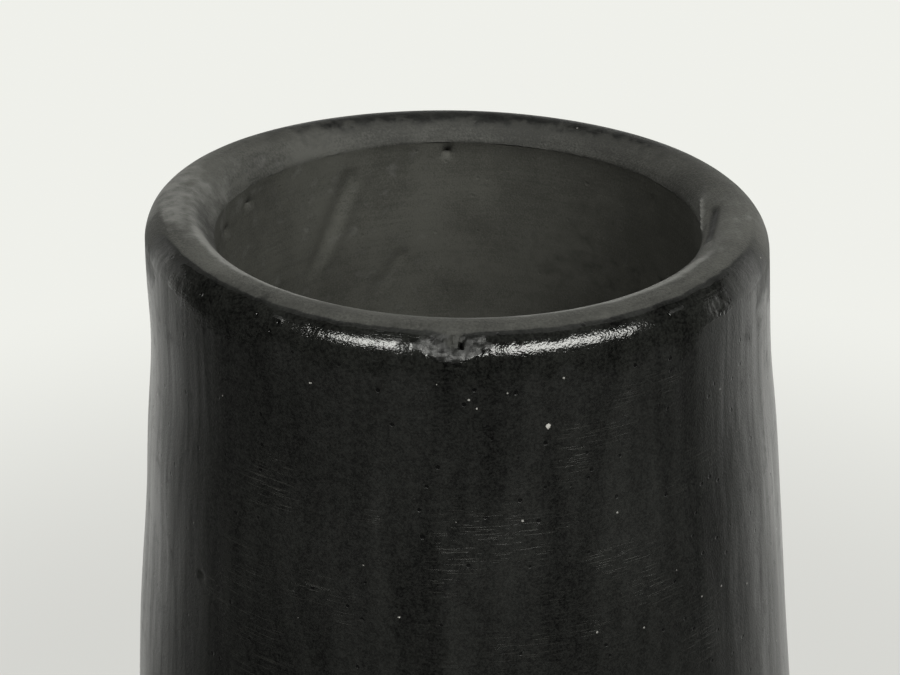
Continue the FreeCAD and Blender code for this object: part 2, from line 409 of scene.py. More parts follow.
    def turn(self, name: str, section: list[Point], polish: list[float], clay: bpy.types.Material,
             hand: HandBuilding) -> bpy.types.Object:
        """Turn one section into a closed mesh.

        Args:
            name: the piece's name.
            section: its outline as (distance from the axis, height), counter-clockwise in section.
            polish: how burnished each point of the outline is, 0 to 1.
            clay: the piece's material.
            hand: how uneven the clay is.

        Returns:
            A mesh object at the origin with no modifiers.
        """
        outline = bpy.data.meshes.new(name + "_section")
        outline.from_pydata([(x, 0.0, z) for x, z in section], [], [])
        outline.attributes.new("polish", "FLOAT", "POINT").data.foreach_set("value", polish)
        maker = placed(name + "_section", outline)
        modifier = maker.modifiers.new("turned", "NODES")
        modifier.node_group = self.tree
        for item in HandBuilding.__dataclass_fields__:
            modifier[self.sockets[item.replace("_", " ").title()]] = getattr(hand, item)
        modifier[self.sockets["Clay"]] = clay
        bpy.context.view_layer.update()
        evaluated = maker.evaluated_get(bpy.context.evaluated_depsgraph_get())
        mesh = bpy.data.meshes.new_from_object(evaluated)
        mesh.name = name
        piece = placed(name, mesh)
        bpy.data.objects.remove(maker)
        bpy.data.meshes.remove(outline)
        return piece


# ---------------------------------- marks of hand and of wear


def eased(value: np.ndarray, low: float, high: float) -> np.ndarray:
    """Smoothstep from 0 at low to 1 at high; high may be the smaller."""
    t = np.clip((value - low) / (high - low), 0.0, 1.0)
    return t * t * (3 - 2 * t)


@dataclass(frozen=True)
class Spot:
    """A place on the pot: azimuth in degrees from the front, positive to the right, and where in section.

    bead is an angle round the lip in degrees, 0 outside, 90 on top and 180 inside; where it is None, the
    spot is on the wall, at a height in millimetres, outside or inside.
    """

    azimuth: float
    height: float = 0.0
    bead: float | None = None
    inside: bool = False

    def section(self, pot: PotProfile) -> tuple[Point, Point]:
        """The spot and the outward direction there, in section."""
        if self.bead is not None:
            angle = math.radians(self.bead)
            out = (math.cos(angle), math.sin(angle))
            return (pot.lip_ring + pot.lip_round * out[0], pot.lip_height + pot.lip_round * out[1]), out
        outer, inner = pot.neck.scarf(self.height * MM, 0.0)
        out = (math.cos(pot.taper), math.sin(pot.taper))
        return (inner, (-out[0], -out[1])) if self.inside else (outer, out)

    def place(self, pot: PotProfile) -> tuple[np.ndarray, np.ndarray]:
        """The spot and the outward direction there."""
        turn = math.radians(self.azimuth)
        level = np.array((math.sin(turn), -math.cos(turn), 0.0))
        up = np.array((0.0, 0.0, 1.0))
        (x, z), (out_x, out_z) = self.section(pot)
        return level * x + up * z, level * out_x + up * out_z


@dataclass(frozen=True)
class Mark:
    """A round dent, or a bump where depth is negative, that can also dull or whiten the clay.

    across and tall are half widths round and up the pot, in millimetres as the depths are; rough is the
    depth of broken grain in it. Where dull is 1 the clay ends up with the skin given, as a polish.
    """

    spot: Spot
    across: float
    tall: float
    depth: float
    dull: float = 0.0
    skin: float = 0.0
    chalk: float = 0.0
    rough: float = 0.0
    crisp: float = 2.0


@dataclass(frozen=True)
class Groove:
    """A straight mark from one spot to another, in millimetres; a ridge where depth is negative."""

    start: Spot
    end: Spot
    width: float
    depth: float
    dull: float = 0.0
    skin: float = 0.0


@dataclass
class Marks:
    """Presses every mark into a piece's mesh."""

    pot: PotProfile
    marks: list[Mark]
    grooves: list[Groove]
    grain_size: float = 0.45 * MM
    reach: float = 3.0

    def press(self, co: np.ndarray, polish: np.ndarray, chalk: np.ndarray) -> np.ndarray:
        """Move the points that lie in a mark and change their polish and chalk in place.

        Args:
            co: the piece's points, n by 3.
            polish: how burnished each point is.
            chalk: how whitened each point is.

        Returns:
            The moved points.
        """
        moved = co.copy()
        azimuth, radius = np.arctan2(co[:, 0], -co[:, 1]), np.hypot(co[:, 0], co[:, 1])
        for mark in self.marks:
            (x, z), (out_x, out_z) = mark.spot.section(self.pot)
            turn = azimuth - math.radians(mark.spot.azimuth)
            across = x * ((turn + math.pi) % (2 * math.pi) - math.pi) / (mark.across * MM)
            tall = np.hypot(radius - x, co[:, 2] - z) / (mark.tall * MM)
            away = across**2 + tall**2
            near = np.flatnonzero(away < self.reach**2)
            fall = np.exp(-(away[near] ** (mark.crisp / 2)))
            push = -mark.depth * MM * fall
            if mark.rough:
                push += mark.rough * MM * fall * np.array([self.grain(p) for p in co[near]])
            level = push * out_x / radius[near]
            moved[near] += np.stack([co[near, 0] * level, co[near, 1] * level, push * out_z], axis=1)
            polish[near] += (mark.skin - polish[near]) * mark.dull * fall
            chalk[near] = np.maximum(chalk[near], mark.chalk * fall)
        for groove in self.grooves:
            start, out = groove.start.place(self.pot)
            end = groove.end.place(self.pot)[0]
            along = end - start
            t = np.clip((co - start) @ along / (along @ along), 0.0, 1.0)
            gap = np.linalg.norm(co - start - np.outer(t, along), axis=1) / (groove.width * MM)
            near = np.flatnonzero(gap < self.reach)
            fall = np.exp(-(gap[near] ** 2)) * (1 - (2 * t[near] - 1) ** 6)
            moved[near] -= np.outer(groove.depth * MM * fall, out)
            polish[near] += (groove.skin - polish[near]) * groove.dull * fall
        return moved

    def grain(self, point: np.ndarray) -> float:
        """Broken-clay noise from -1 to 1 at a point."""
        return noise.turbulence(Vector(point / self.grain_size), 3, False) * 2 - 0.9


@dataclass(frozen=True)
class Press:
    """A broad press of the hand that pushes one side of the neck in between two heights."""

    azimuth: float
    low: float
    high: float
    depth: float
    fade: float = 14 * MM

    def push(self, azimuth: np.ndarray, height: np.ndarray) -> np.ndarray:
        """How far in each point goes."""
        side = eased(np.cos(azimuth - self.azimuth), 0.1, 1.0)
        level = eased(height, self.low - self.fade, self.low + self.fade)
        return self.depth * side * level * eased(height, self.high + self.fade, self.high - self.fade)


@dataclass
class HandShape:
    """What hand building does to the whole pot: the neck leans and is pressed in, and the rim is uneven."""

    pot: PotProfile
    lean: float = -0.015
    rim_tilt: float = -0.021
    rim_saddle: float = 0.30 * MM
    crease_drop: float = 1.0 * MM
    crease_drop_height: float = 3 * MM
    crease_drop_azimuth: float = math.radians(25)
    crease_reach: float = 0.45 * MM
    crease_smoothing: float = 0.95
    presses: tuple[Press, ...] = (
        Press(math.radians(-112), 190 * MM, 260 * MM, 0.65 * MM),
        Press(math.radians(-95), 150 * MM, 214 * MM, 0.70 * MM),
    )
    waist_depth: float = 0.6 * MM
    waist_below_lip: float = 12 * MM
    waist_height: float = 9 * MM
    waist_bias: float = 0.35

    def bend(self, co: np.ndarray) -> np.ndarray:
        """The points of any piece, moved as the whole pot is out of true."""
        pot, out = self.pot, co.copy()
        x, y, z = co.T
        azimuth, radius = np.arctan2(x, -y), np.hypot(x, y)
        waist_z = pot.lip_height - self.waist_below_lip
        waist = self.waist_depth * (1 - self.waist_bias * np.sin(azimuth))
        waist *= np.exp(-(((z - waist_z) / self.waist_height) ** 2))
        inward = waist + sum(press.push(azimuth, z) for press in self.presses)
        inward += self.crease(azimuth, radius, z)
        scale = 1 - inward / np.maximum(radius, pot.lip_ring / 2)
        out[:, 0], out[:, 1] = x * scale, y * scale
        inside = eased(radius, pot.lip_ring - 0.3 * pot.lip_round, pot.lip_ring - 0.8 * pot.lip_round)
        low_side = eased(-np.sin(azimuth - self.crease_drop_azimuth), -0.4, 0.9)
        from_crease = (z - self.crease_place()[1]) / self.crease_drop_height
        out[:, 2] -= self.crease_drop * low_side * inside * np.exp(-(from_crease**2))
        high = eased(z, pot.neck_joint, pot.lip_height)
        out[:, 2] += high * (self.rim_tilt * x - self.rim_saddle * np.cos(2 * azimuth))
        out[:, 0] += self.lean * np.maximum(z - pot.shoulder_joint, 0.0) * eased(
            z, pot.shoulder_joint, pot.neck_joint + 20 * MM)
        return out

    def crease_place(self) -> Point:
        """Where the joint under the lip comes out inside the mouth: just on the wall side of its corner."""
        corner = self.pot.neck.scarf(self.pot.lip_joint, self.pot.scarf_lean)[1]
        return corner[0] - 0.08 * MM, corner[1] + 0.04 * MM

    def crease(self, azimuth: np.ndarray, radius: np.ndarray, height: np.ndarray) -> np.ndarray:
        """How far the thumb moves points near the crease inwards, to smear the lip onto the wall."""
        x, z = self.crease_place()
        away = np.hypot(radius - x, height - z)
        near = np.flatnonzero(away < 4 * self.crease_reach)
        patchy = [noise.noise(Vector((math.cos(a), math.sin(a), 0.0)) * 6) for a in azimuth[near]]
        amount = self.crease_smoothing * eased(np.array(patchy), -0.6, -0.05)
        smear = np.zeros_like(radius)
        smear[near] = (radius[near] - x) * amount * np.exp(-((away[near] / self.crease_reach) ** 2))
        return smear


# ---------------------------------- smoke-fired clay


class EffectGroups:
    """The shader node groups that every clay finish shares."""

    def __init__(self) -> None:
        """Build each group once."""
        self.grain = self._group("clay_grain", self._grain, Size=0.5 * MM)
        self.sparkle = self._group("tooth_of_gloss", self._sparkle, Size=0.3 * MM)
        self.streaks = self._group("burnishing_streaks", self._streaks, Width=5 * MM, Length=60 * MM)
        self.scratches = self._group("fine_scratches", self._scratches, Width=0.11 * MM, Length=4 * MM,
                                     Amount=0.52)
        self.wiping = self._group("wiping_strokes", self._wiping, Width=0.5 * MM, Length=14 * MM)
        self.specks = self._group("pale_specks", self._specks, Spacing=3.6 * MM, Size=0.15 * MM)

    @staticmethod
    def _group(name: str, fill: Callable, **sizes: float) -> bpy.types.NodeTree:
        """A group with a Vector input, named sizes and one output called Mask.

        Args:
            name: the group's name.
            fill: adds the group's own nodes and returns the socket that the mask comes from.
            sizes: the named inputs and their usual values.

        Returns:
            The group.
        """
        tree = bpy.data.node_groups.new(name, "ShaderNodeTree")
        tree.interface.new_socket("Vector", in_out="INPUT", socket_type="NodeSocketVector")
        for size, value in sizes.items():
            socket = tree.interface.new_socket(size, in_out="INPUT", socket_type="NodeSocketFloat")
            socket.default_value = value
        tree.interface.new_socket("Mask", in_out="OUTPUT", socket_type="NodeSocketFloat")
        n = NodeTree(tree)
        result = fill(n, n.add("NodeGroupInput").outputs)
        n.add("NodeGroupOutput", {0: result})
        return tree

    @staticmethod
    def _stretched(n: NodeTree, given: Outputs, level: object,
                   upright: object) -> Socket:
        """The vector divided by one length across the pot and another up it."""
        return n.vector("DIVIDE", given["Vector"], n.joined(level, level, upright))

    @staticmethod
    def _drawn_round(n: NodeTree, given: Outputs, detail: float) -> Socket:
        """Noise drawn out round the pot, on walls and on level faces alike: long one way, thin the other."""
        x, y, height = n.parts(given["Vector"])
        level = n.joined(x, y)
        ring = n.scaled(n.vector("NORMALIZE", level), n.math("DIVIDE", NECK_RADIUS, given["Length"]))
        place = n.vector("ADD", ring, n.joined(z=n.math("DIVIDE", height, given["Width"])))
        inputs = {"Vector": place, "W": n.math("DIVIDE", n.length(level), given["Width"]),
                  "Scale": 1.0, "Detail": detail}
        return n.add("ShaderNodeTexNoise", inputs, noise_dimensions="4D").outputs[0]

    def _grain(self, n: NodeTree, given: Outputs) -> Socket:
        """Fired grain: fine noise with pits."""
        place = self._stretched(n, given, given["Size"], given["Size"])
        return n.noise(place, 3.0, roughness=0.6)

    def _sparkle(self, n: NodeTree, given: Outputs) -> Socket:
        """Small even bumps that break a gloss into points of light."""
        return n.noise(self._stretched(n, given, given["Size"], n.times(given["Size"], 0.7)), 1.0)

    def _streaks(self, n: NodeTree, given: Outputs) -> Socket:
        """Long upright bands that a burnishing stone leaves."""
        return n.ramp(n.noise(self._stretched(n, given, given["Width"], given["Length"]), 2.0), 0.3, 0.7)

    def _scratches(self, n: NodeTree, given: Outputs) -> Socket:
        """Hair-thin lines round the pot that come and go."""
        drawn = n.ramp(self._drawn_round(n, given, 1.0), 0.58, 0.68)
        patch = n.noise(given["Vector"], 1.0, scale=110.0)
        return n.times(drawn, n.ramp(patch, n.math("SUBTRACT", 1.0, given["Amount"]), 0.72))

    def _wiping(self, n: NodeTree, given: Outputs) -> Socket:
        """Soft strokes that a wet hand leaves round the pot."""
        return n.ramp(self._drawn_round(n, given, 3.0), 0.3, 0.7)

    def _specks(self, n: NodeTree, given: Outputs) -> Socket:
        """Sparse pale grains of sand."""
        place = self._stretched(n, given, given["Spacing"], given["Spacing"])
        cell = n.add("ShaderNodeTexVoronoi", {"Vector": place, "Scale": 1.0}, feature="F1")
        radius = n.math("DIVIDE", given["Size"], given["Spacing"])
        return n.ramp(n.math("DIVIDE", cell.outputs["Distance"], radius), 1.0, 0.6)


@dataclass(frozen=True)
class ClayFinish:
    """One finish of smoke-fired clay.

    The clay's polish picks the skin: below 0 worn pale, which on the lip is also painted light; 0 matte, 1
    burnished, 1.6 burnished to a gloss.
    """

    name: str
    slot: str
    burnished_dark: tuple = (0.0004, 0.0004, 0.0004)
    burnished_light: tuple = (0.0166, 0.0173, 0.0157)
    matte_dark: tuple = (0.042, 0.042, 0.036)
    matte_light: tuple = (0.080, 0.080, 0.070)
    # pale colour of worn clay, also used as painted light on the lip's sides and inner crests
    rubbed: tuple = (0.195, 0.195, 0.186)
    chalk: tuple = (0.42, 0.41, 0.39)
    gloss_roughness: float = 0.07
    burnished_roughness: float = 0.38
    dull_roughness: float = 0.54
    matte_roughness: float = 0.74
    burnished_grain: float = 0.036 * MM
    gloss_grain: float = 0.020 * MM
    sparkle_size: float = 0.26 * MM
    sparkle_height: float = 0.024 * MM
    matte_grain: float = 0.050 * MM
    grain_size: float = 0.24 * MM
    streak_height: float = 0.020 * MM
    facet_height: float = 0.036 * MM
    scratch_depth: float = 0.012 * MM
    pit_depth: float = 0.040 * MM
    wipe_height: float = 0.008 * MM
    tooth_size: float = 0.7 * MM
    coarse_size: float = 2.2 * MM
    cloud_size: float = 14 * MM
    facet_width: float = 2.5 * MM
    facet_length: float = 30 * MM
    pit_spacing: float = 2.3 * MM
    pit_size: float = 0.27 * MM
    raggedness: float = 0.9
    gloss_starts: float = 1.25

    def material(self, effects: EffectGroups) -> bpy.types.Material:
        """Build the material.

        Args:
            effects: the shared node groups.

        Returns:
            The material, driven by the clay's polish and chalk and by object coordinates.
        """
        material = bpy.data.materials.new(self.name)
        n = emptied(material)
        layer = self._layers(n, effects)
        bump = n.add("ShaderNodeBump", {"Height": self._relief(n, layer), "Distance": 1.0, "Strength": 1.0})
        shader = n.add("ShaderNodeBsdfPrincipled", {
            "Base Color": self._colour(n, layer), "Roughness": self._roughness(n, layer),
            "Normal": bump.outputs[0], "IOR": 1.5})
        n.add("ShaderNodeOutputMaterial", {"Surface": shader.outputs[0]})
        return material

    def _layers(self, n: NodeTree, effects: EffectGroups) -> SimpleNamespace:
        """The masks that the finish is made from, by name; ragged is the polish with a broken edge."""
        spot = n.add("ShaderNodeTexCoord").outputs["Object"]
        table = {
            "grain": (effects.grain, {"Size": self.grain_size}),
            "tooth": (effects.grain, {"Size": self.tooth_size}),
            "coarse": (effects.grain, {"Size": self.coarse_size}),
            "cloud": (effects.grain, {"Size": self.cloud_size}),
            "sparkle": (effects.sparkle, {"Size": self.sparkle_size}),
            "streaks": (effects.streaks, {}),
            "facets": (effects.streaks, {"Width": self.facet_width, "Length": self.facet_length}),
            "scratches": (effects.scratches, {}),
            "wiped": (effects.wiping, {}),
            "specks": (effects.specks, {}),
            "pits": (effects.specks, {"Spacing": self.pit_spacing, "Size": self.pit_size}),
        }
        layer = SimpleNamespace(**{name: self._effect(n, group, spot, **sizes)
                                   for name, (group, sizes) in table.items()})
        polish, layer.chalk = (n.add("ShaderNodeAttribute", attribute_name=name).outputs["Fac"]
                               for name in ("polish", "chalk"))
        layer.ragged = n.layered(polish, (n.math("SUBTRACT", layer.coarse, 0.5), self.raggedness))
        layer.shine = n.times(n.ramp(layer.ragged, 0.30, 0.58), n.layered(1.0, (layer.scratches, -0.25)))
        layer.matte = n.math("SUBTRACT", 1.0, layer.shine)
        return layer

    def _colour(self, n: NodeTree, layer: SimpleNamespace) -> Socket:
        """Black where burnished, grey where matte, paler still where worn or sandy, and where light is
        painted on the lip.
        """
        bright = n.layered(
            0.0, (layer.streaks, 0.26), (layer.facets, 0.14), (layer.scratches, 0.15),
            (n.ramp(layer.tooth, 0.42, 0.58), 0.20), (n.ramp(layer.grain, 0.40, 0.60), 0.36),
            (layer.pits, -0.6))
        burnished = self._mix(n, bright, self.burnished_dark, self.burnished_light)
        tone = n.layered(0.0, (layer.cloud, 0.45), (layer.coarse, 0.20), (layer.wiped, 0.04),
                         (layer.grain, 0.35))
        tone = n.times(n.ramp(tone, 0.41, 0.61), n.ramp(layer.ragged, 0.40, 0.05, 0.25, 1.0))
        matte = self._mix(n, tone, self.matte_dark, self.matte_light)
        # below 0 polish the clay turns pale: worn clay, and painted light on the lip's sides and inner crests
        matte = self._mix(n, n.ramp(layer.ragged, 0.0, -0.6), matte, self.rubbed)
        colour = self._mix(n, layer.shine, matte, burnished)
        sand = n.ramp(layer.chalk, 0.40, 0.60)
        white = n.math("MAXIMUM", sand, n.times(n.times(layer.specks, layer.shine), 0.6))
        return self._mix(n, white, colour, self.chalk)

    def _roughness(self, n: NodeTree, layer: SimpleNamespace) -> Socket:
        """From a gloss, through burnished and dull, to matte."""
        glossy = n.ramp(layer.ragged, 0.62, 0.98, self.dull_roughness, self.burnished_roughness)
        glossy = n.ramp(layer.ragged, self.gloss_starts, 1.55, glossy, self.gloss_roughness)
        glossy = n.layered(glossy, (layer.streaks, 0.08))
        return n.layered(0.0, (glossy, layer.shine), (layer.matte, self.matte_roughness))

    def _relief(self, n: NodeTree, layer: SimpleNamespace) -> Socket:
        """How high the fine surface stands, in metres."""
        polished = n.ramp(layer.ragged, self.gloss_starts, 1.55, self.burnished_grain, self.gloss_grain)
        grain = n.layered(0.0, (layer.shine, polished), (layer.matte, self.matte_grain))
        gloss = n.ramp(layer.ragged, self.gloss_starts, 1.50)
        return n.layered(
            0.0, (layer.grain, grain),
            (n.times(layer.sparkle, gloss), self.sparkle_height),
            (n.times(layer.streaks, layer.shine), self.streak_height),
            (n.times(layer.facets, layer.shine), self.facet_height),
            (n.times(layer.wiped, layer.matte), self.wipe_height),
            (layer.scratches, -self.scratch_depth), (layer.pits, -self.pit_depth))

    @staticmethod
    def _effect(n: NodeTree, group: bpy.types.NodeTree, spot: Socket,
                **sizes: float) -> Socket:
        """Place a shared group with its own sizes and return its mask."""
        node = n.add("ShaderNodeGroup", node_tree=group)
        n.tree.links.new(spot, node.inputs["Vector"])
        for name, value in sizes.items():
            node.inputs[name].default_value = value
        return node.outputs["Mask"]

    @staticmethod
    def _mix(n: NodeTree, amount: object, first: object, second: object) -> Socket:
        """Blend two colours, each a socket or a colour of three numbers."""
        node = n.add("ShaderNodeMix", data_type="RGBA")
        sockets = {"Factor_Float": amount, "A_Color": first, "B_Color": second}
        for socket in node.inputs:
            value = sockets.get(socket.identifier)
            if isinstance(value, Socket):
                n.tree.links.new(value, socket)
            elif value is not None:
                socket.default_value = (*value, 1.0)
        return next(o for o in node.outputs if o.identifier == "Result_Color")


# ---------------------------------- the clay pieces


@dataclass
class Workshop:
    """What every clay piece needs to be made: the profile, the tree, the hand's marks and the hand's shape.
    """

    pot: PotProfile
    tree: TurningTree
    marks: Marks
    shape: HandShape
    hand: HandBuilding = HandBuilding()
    sharp: float = math.radians(40)

    def make(self, node: str, section: list[Point], polish: list[float], finish: ClayFinish,
             clay: bpy.types.Material) -> bpy.types.Object:
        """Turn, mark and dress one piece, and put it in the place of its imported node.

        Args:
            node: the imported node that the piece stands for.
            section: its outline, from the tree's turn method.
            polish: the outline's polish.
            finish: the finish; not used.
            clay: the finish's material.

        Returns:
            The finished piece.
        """
        piece = self.tree.turn(node + "_clay", section, polish, clay, self.hand)
        mesh = piece.data
        count = len(mesh.vertices)
        co, shine = np.empty(count * 3, np.float32), np.empty(count, np.float32)
        mesh.vertices.foreach_get("co", co)
        mesh.attributes["polish"].data.foreach_get("value", shine)
        chalk = np.zeros(count, np.float32)
        co = self.marks.press(co.reshape(-1, 3).astype(float), shine, chalk)
        co = self.shape.bend(co)
        mesh.vertices.foreach_set("co", co.astype(np.float32).ravel())
        mesh.attributes["polish"].data.foreach_set("value", shine)
        mesh.attributes.new("chalk", "FLOAT", "POINT").data.foreach_set("value", chalk)
        mesh.polygons.foreach_set("use_smooth", np.ones(len(mesh.polygons), bool))
        mesh.set_sharp_from_angle(angle=self.sharp)
        mesh.update()
        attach(piece, ROOT)
        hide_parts(node)
        log.info("%s: %d points, %d faces", piece.name, count, len(mesh.polygons))
        return piece


def outline_of(stretches: list[tuple[list[Point], Skin]]) -> tuple[list[Point], list[float]]:
    """Join stretches end to end into one outline; each keeps its own polish.

    Args:
        stretches: each a list of points that starts where the last one ended, and how it faces.

    Returns:
        The outline's points and the polish of each.
    """
    points, polish = [], []
    for stretch, skin in stretches:
        start = 1 if points else 0
        points += stretch[start:]
        polish += [skin.value] * (len(stretch) - start)
    return points, polish


@dataclass
class WallCourses:
    """The eight bands of flattened coil between the base and the lip."""

    work: Workshop
    finish: ClayFinish
    fine_step: float = 0.4 * MM
    plain_step: float = 0.62 * MM
    inside_step: float = 0.75 * MM
    joint_step: float = 1.2 * MM

    def build(self, clay: bpy.types.Material) -> list[bpy.types.Object]:
        """Make every course from the bottom up; each ends where the next one starts."""
        pot = self.work.pot
        plan = {
            "lower_wall_course": (pot.lower_belly, self.plain_step),
            "belly_course_lower": (pot.lower_belly, self.plain_step),
            "belly_course_upper": (pot.upper_belly, self.plain_step),
            "shoulder_course_lower": (pot.upper_belly, self.plain_step),
            "shoulder_course_upper": (pot.shoulder, self.plain_step),
            "neck_root_course": (pot.neck, self.fine_step),
            "neck_middle_course": (pot.neck, self.fine_step),
            "neck_upper_course": (pot.neck, self.fine_step),
        }
        known = {"shoulder_course_upper": pot.shoulder_joint, "neck_root_course": pot.neck_joint}
        joints = [known.get(node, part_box(node)[0].z) for node in plan] + [pot.lip_joint]
        return [self.course(node, wall, step, ends, clay)
                for (node, (wall, step)), ends in zip(plan.items(), pairwise(joints))]

    def course(self, node: str, wall: WallArc | WallCone, step: float, ends: tuple[float, float],
               clay: bpy.types.Material) -> bpy.types.Object:
        """Make one course between two joint heights: outside, upper joint, inside, lower joint."""
        (low_out, low_in), (high_out, high_in) = (wall.scarf(z, self.work.pot.scarf_lean) for z in ends)
        section, polish = outline_of([
            (wall.skin(low_out, high_out, False, step), Skin.OUTSIDE),
            (straight(high_out, high_in, self.joint_step), Skin.INSIDE),
            (wall.skin(high_in, low_in, True, self.inside_step), Skin.INSIDE),
            (straight(low_in, low_out, self.joint_step), Skin.INSIDE),
        ])
        polish[-1] = Skin.OUTSIDE.value
        return self.work.make(node, section, polish, self.finish, clay)


@dataclass
class LipCoil:
    """The thick rolled coil at the mouth: burnished on its shoulder, matte on top."""

    work: Workshop
    finish: ClayFinish
    step: float = 0.28 * MM
    joint_step: float = 0.9 * MM
    burnish_ends: float = math.radians(56)
    burnish_fades: float = math.radians(14)
    gloss: float = 1.45
    dusk: float = 0.34

    def build(self, clay: bpy.types.Material) -> bpy.types.Object:
        """Make the lip from its seam, up the side, over the round and back along the joint."""
        pot = self.work.pot
        seam, inner = pot.neck.scarf(pot.lip_joint, pot.scarf_lean)
        centre = (pot.lip_ring, pot.lip_height)
        overhang = self.overhang(seam, inner, centre)
        side = straight(seam, pot.neck.top, self.step)
        bead = turned_arc(centre, pot.lip_round, pot.taper, overhang, self.step)
        end = bead[-1]
        under = straight(end, inner, self.joint_step) + straight(inner, seam, self.joint_step)[1:]
        section = side + bead[1:] + under[1:]
        angles = [math.atan2(z - centre[1], x - centre[0]) % (2 * math.pi) for x, z in bead[1:]]
        polish = [1.0 - (1.0 - self.gloss) * k / (len(side) - 1) for k in range(len(side))]
        polish += [self.polish(angle) for angle in angles]
        polish += [0.0] * (len(under) - 2) + [1.0]
        return self.work.make("lip_coil", section, polish, self.finish, clay)

    def polish(self, angle: float) -> float:
        """How polished the round is at this angle: burnished shoulder, matte top."""
        place = np.array(angle)
        gloss = self.gloss * eased(place, self.burnish_ends + self.burnish_fades, self.burnish_ends)
        gloss += self.dusk * eased(place, self.burnish_ends + 3 * self.burnish_fades, self.burnish_ends)
        return float(gloss)

    def overhang(self, seam: Point, inner: Point, centre: Point) -> float:
        """Angle round the lip at which its joint comes out on the inside."""
        length = math.dist(seam, inner)
        step = ((inner[0] - seam[0]) / length, (inner[1] - seam[1]) / length)
        end = meet(seam, step, centre, self.work.pot.lip_round, True)
        return math.atan2(end[1] - centre[1], end[0] - centre[0]) % (2 * math.pi)


@dataclass
class BasePatty:
    """The saucer-shaped base with its flat, worn resting face."""

    work: Workshop
    finish: ClayFinish
    step: float = 0.7 * MM
    flat_step: float = 2.2 * MM
    joint_step: float = 1.2 * MM

    def build(self, clay: bpy.types.Material) -> bpy.types.Object:
        """Make the base from the middle of the resting face round to the middle of the floor."""
        pot = self.work.pot
        wall = pot.lower_belly
        rim_out, rim_in = wall.scarf(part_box("lower_wall_course")[0].z, pot.scarf_lean)
        foot = self.rounded(wall, 0.0, pot.foot_fillet, False)
        floor = self.rounded(wall, pot.floor_thickness, pot.floor_fillet, True)
        section, polish = outline_of([
            (straight((0.0, 0.0), foot[0], self.flat_step), Skin.INSIDE),
            (foot, Skin.OUTSIDE),
            (wall.skin(foot[-1], rim_out, False, self.step), Skin.OUTSIDE),
            (straight(rim_out, rim_in, self.joint_step), Skin.INSIDE),
            (wall.skin(rim_in, floor[-1], True, self.step), Skin.INSIDE),
            (floor[::-1], Skin.INSIDE),
            (straight(floor[0], (0.0, pot.floor_thickness), self.flat_step), Skin.INSIDE),
        ])
        return self.work.make("base_patty", section, polish, self.finish, clay)

    def rounded(self, wall: WallArc, level: float, radius: float, inside: bool) -> list[Point]:
        """The round between a level face and the wall above it, from the face to the wall.

        Args:
            wall: the stretch of wall.
            level: height of the level face.
            radius: radius of the round.
            inside: True for the floor's hollow corner, False for the foot's outer edge.

        Returns:
            Points round the corner.
        """
        reach = wall.radius - (wall.thickness if inside else 0.0) - radius
        centre_z = level + radius
        centre_x = wall.centre[0] + math.sqrt(reach**2 - (centre_z - wall.centre[1]) ** 2)
        end = math.atan2(centre_z - wall.centre[1], centre_x - wall.centre[0])
        return turned_arc((centre_x, centre_z), radius, -math.pi / 2, end, self.step * 0.6)


# ---------------------------------- the studio


